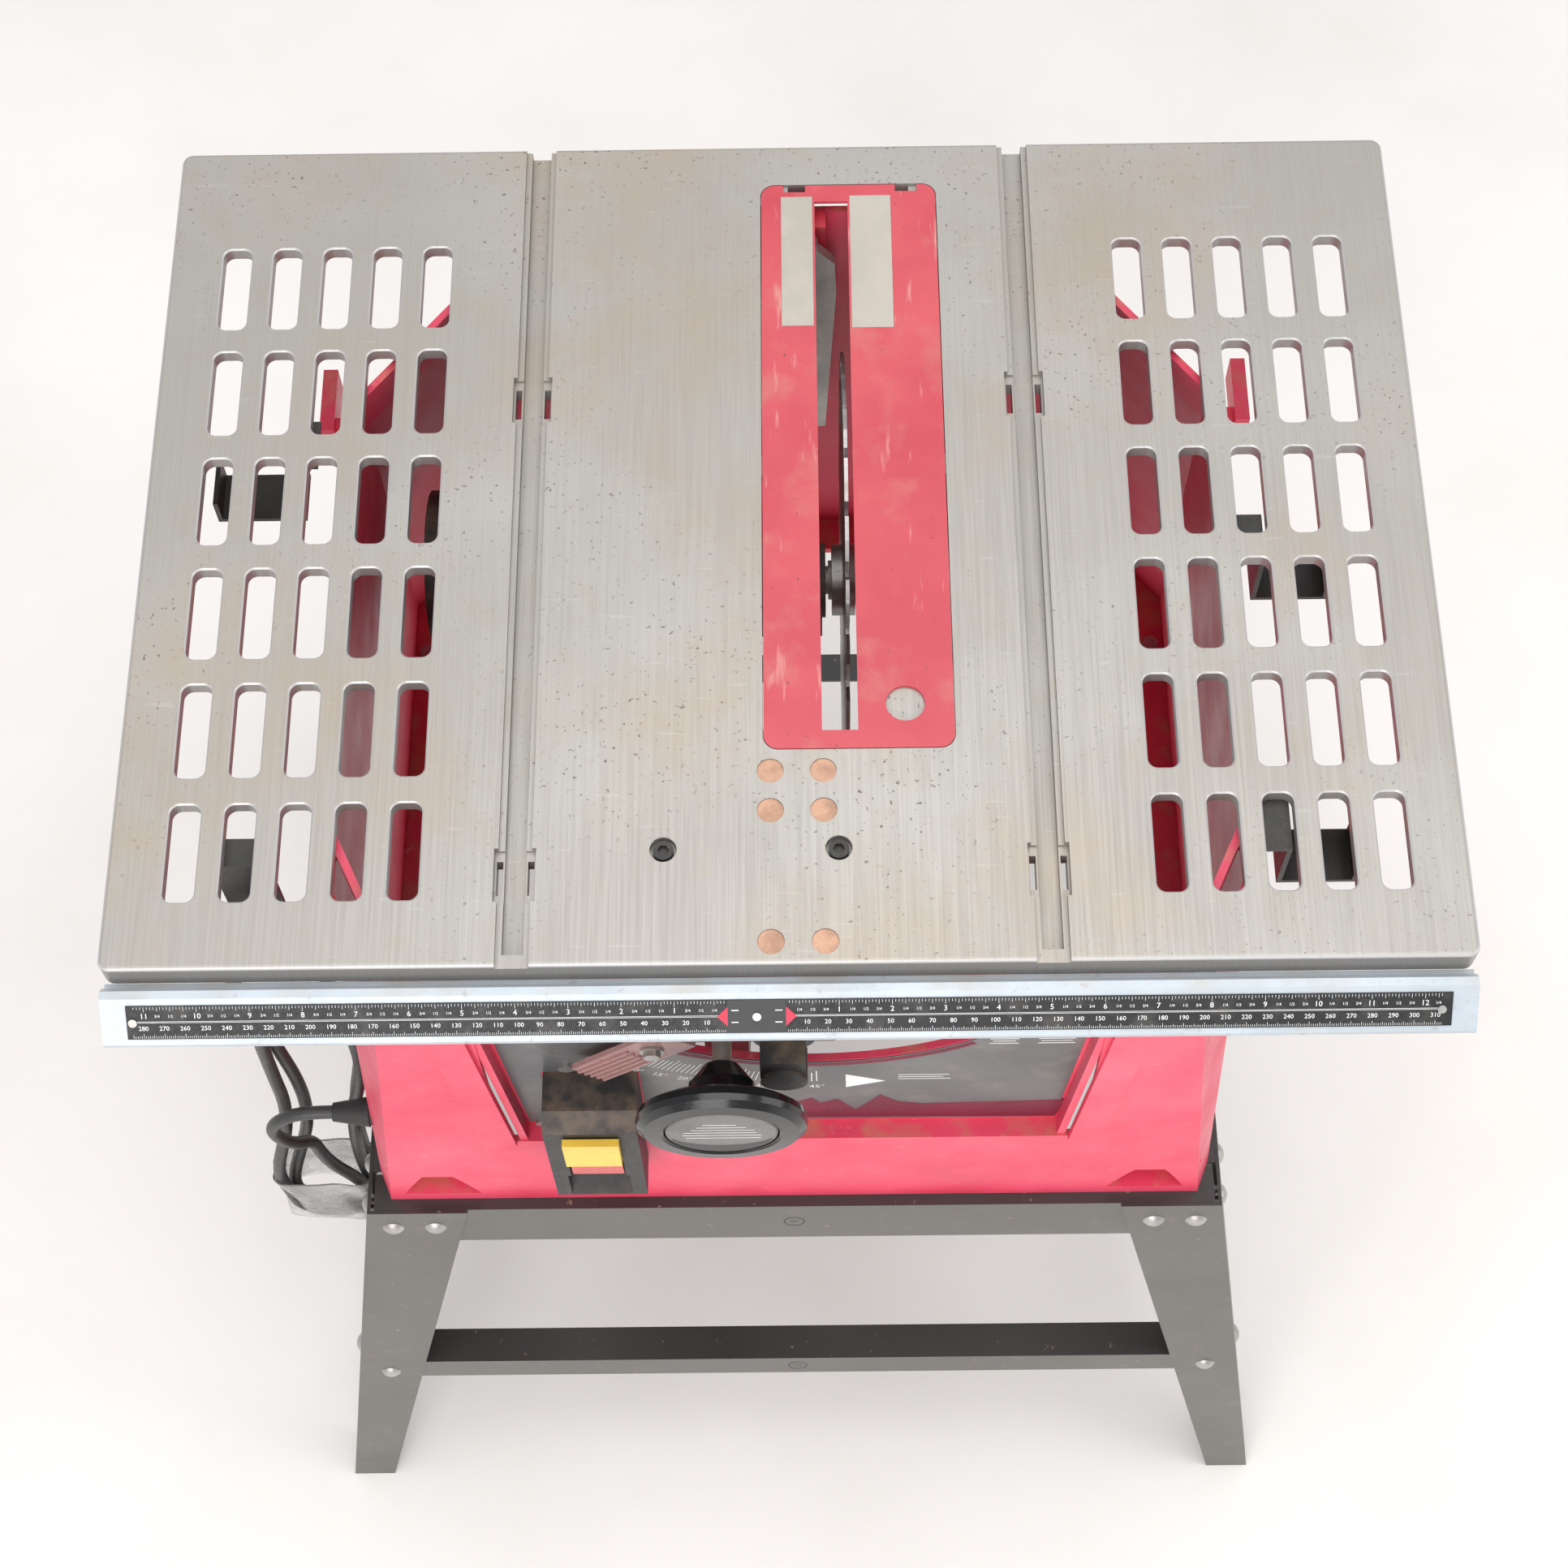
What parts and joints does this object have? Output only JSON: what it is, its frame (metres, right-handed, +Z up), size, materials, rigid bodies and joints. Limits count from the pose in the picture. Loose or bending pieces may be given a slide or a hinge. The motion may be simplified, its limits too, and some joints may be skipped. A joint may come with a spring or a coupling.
{
  "type": "benchtop table saw",
  "caption": "Benchtop table saw on a splayed bolted leg stand: slotted cast table with rule rail, tilting blade on a lift carriage, handwheel, rocker switch and tied cord.",
  "frame": {"origin": "on the floor under the middle of the saw and its stand", "axes": "+Z up, +X to the right of a user who faces the rule rail, +Y to the back"},
  "size_m": [0.66, 0.579, 0.815],
  "materials": {
    "cast_table": "cast and ground, stained",
    "rail_paint": "satin light grey paint",
    "scale_black": "printed strip",
    "zinc": "zinc plate, dull",
    "insert_red": "worn satin paint",
    "bare_steel": "ground",
    "copper": "dull copper",
    "black_steel": "black paint",
    "red_paint": "gloss paint",
    "red_plastic": "moulded, satin",
    "label_grey": "printed sheet",
    "black_plastic": "moulded",
    "black_gloss": "moulded, gloss rim",
    "black_rubber": "moulded",
    "cord_rubber": "matte jacket",
    "clear_plastic": "clear film",
    "clear_pointer": "clear moulding",
    "stand_paint": "black paint, semi-gloss",
    "cast_inner": "as cast",
    "bronze": "turned",
    "blade_steel": "ground, resin-stained",
    "switch_red": "moulded",
    "key_yellow": "moulded"
  },
  "bodies": {
    "base": {"base_bolts": "zinc", "cord_hank": "cord_rubber", "cord_tie": "clear_plastic", "front_label": "label_grey", "front_rail": "rail_paint", "front_trunnion_mount": "zinc", "housing": "red_plastic", "leg_back_left": "stand_paint", "leg_back_right": "stand_paint", "leg_front_left": "stand_paint", "leg_front_right": "stand_paint", "lower_brace_back": "stand_paint", "lower_brace_front": "stand_paint", "lower_brace_left": "stand_paint", "lower_brace_right": "stand_paint", "power_cord": "cord_rubber", "power_plug": "cord_rubber", "rail_scale": "scale_black", "rear_trunnion_mount": "red_paint", "scale_rivets": "zinc", "stand_bolts": "zinc", "stand_nuts": "zinc", "storage_brackets": "black_steel", "strain_relief": "black_rubber", "switch_box": "black_plastic", "switch_screws": "zinc", "table_plugs": "copper", "table_top": "cast_table", "throat_plate": "insert_red", "tilt_rack": "zinc", "top_rail_back": "stand_paint", "top_rail_front": "stand_paint", "top_rail_left": "stand_paint", "top_rail_right": "stand_paint", "trunnion_screws": "black_steel", "wear_plates": "bare_steel"},
    "tilt_cradle": {"tilt_frame": "zinc", "pivot_pins": "bare_steel", "guide_rods": "bare_steel", "bevel_pointer": "clear_pointer", "pointer_screw": "zinc"},
    "lock_lever": {"bevel_lock_lever": "black_plastic"},
    "lift_carriage": {"arbor_carriage": "cast_inner", "motor_housing": "black_plastic", "motor_end_cap": "black_plastic", "elevation_nut": "bronze", "arbor_bearings": "bare_steel"},
    "blade": {"saw_blade": "blade_steel", "arbor_shaft": "bare_steel", "blade_flanges": "zinc", "arbor_nut": "zinc", "arbor_gear": "bare_steel"},
    "rotor": {"armature": "bare_steel"},
    "push_sleeve": {"shaft_sleeve": "bronze"},
    "wheel": {"handwheel": "black_gloss", "handwheel_shaft": "bare_steel"},
    "lift_gear": {"drive_gear": "bare_steel"},
    "lift_screw": {"elevation_screw": "bare_steel"},
    "rocker": {"switch_rocker": "switch_red"},
    "key": {"safety_key": "key_yellow"}
  },
  "joints": [
    {"name": "bevel_tilt", "type": "hinge", "parent": "base", "child": "tilt_cradle", "pos_m": [0.011, -0.2105, 0.795], "axis": [0, -1, 0], "range_deg": [0, 45]},
    {"name": "bevel_lock", "type": "hinge", "parent": "tilt_cradle", "child": "lock_lever", "pos_m": [-0.003, -0.2345, 0.709], "axis": [0, 1, 0], "range_deg": [0, 60]},
    {"name": "blade_lift", "type": "slide", "parent": "tilt_cradle", "child": "lift_carriage", "axis": [0, 0, 1], "range_m": [0, 0.08]},
    {"name": "arbor_spin", "type": "hinge", "parent": "lift_carriage", "child": "blade", "pos_m": [0.0325, 0.0605, 0.684], "axis": [1, 0, 0], "continuous": true},
    {"name": "rotor_spin", "type": "hinge", "parent": "lift_carriage", "child": "rotor", "pos_m": [-0.041, 0.08489, 0.6596], "axis": [1, 0, 0], "continuous": true},
    {"name": "wheel_push", "type": "slide", "parent": "tilt_cradle", "child": "push_sleeve", "axis": [0, 1, 0], "range_m": [0, 0.008], "stiffness_N_per_m": 800, "springref_m": -0.004},
    {"name": "wheel_turn", "type": "hinge", "parent": "push_sleeve", "child": "wheel", "pos_m": [-0.035, -0.2245, 0.69846], "axis": [0, 1, 0], "continuous": true},
    {"name": "lift_gear_turn", "type": "hinge", "parent": "tilt_cradle", "child": "lift_gear", "pos_m": [-0.035, -0.1665, 0.69846], "axis": [0, 1, 0], "continuous": true},
    {"name": "lift_screw_turn", "type": "hinge", "parent": "tilt_cradle", "child": "lift_screw", "pos_m": [-0.035, -0.1525, 0.635], "axis": [0, 0, 1], "continuous": true},
    {"name": "switch_rock", "type": "hinge", "parent": "base", "child": "rocker", "pos_m": [-0.106, -0.2385, 0.605], "axis": [1, 0, 0], "range_deg": [0, 10]},
    {"name": "key_pull", "type": "slide", "parent": "rocker", "child": "key", "axis": [0, -1, 0], "range_m": [0, 0.02]}
  ],
  "couplings": [
    {"joint": "rotor_spin", "follows": "arbor_spin", "ratio": -3.6},
    {"joint": "wheel_turn", "follows": "blade_lift", "rad_per_m": 1256.6},
    {"joint": "lift_gear_turn", "follows": "blade_lift", "rad_per_m": 1256.6},
    {"joint": "lift_screw_turn", "follows": "blade_lift", "rad_per_m": -1256.6}
  ]
}
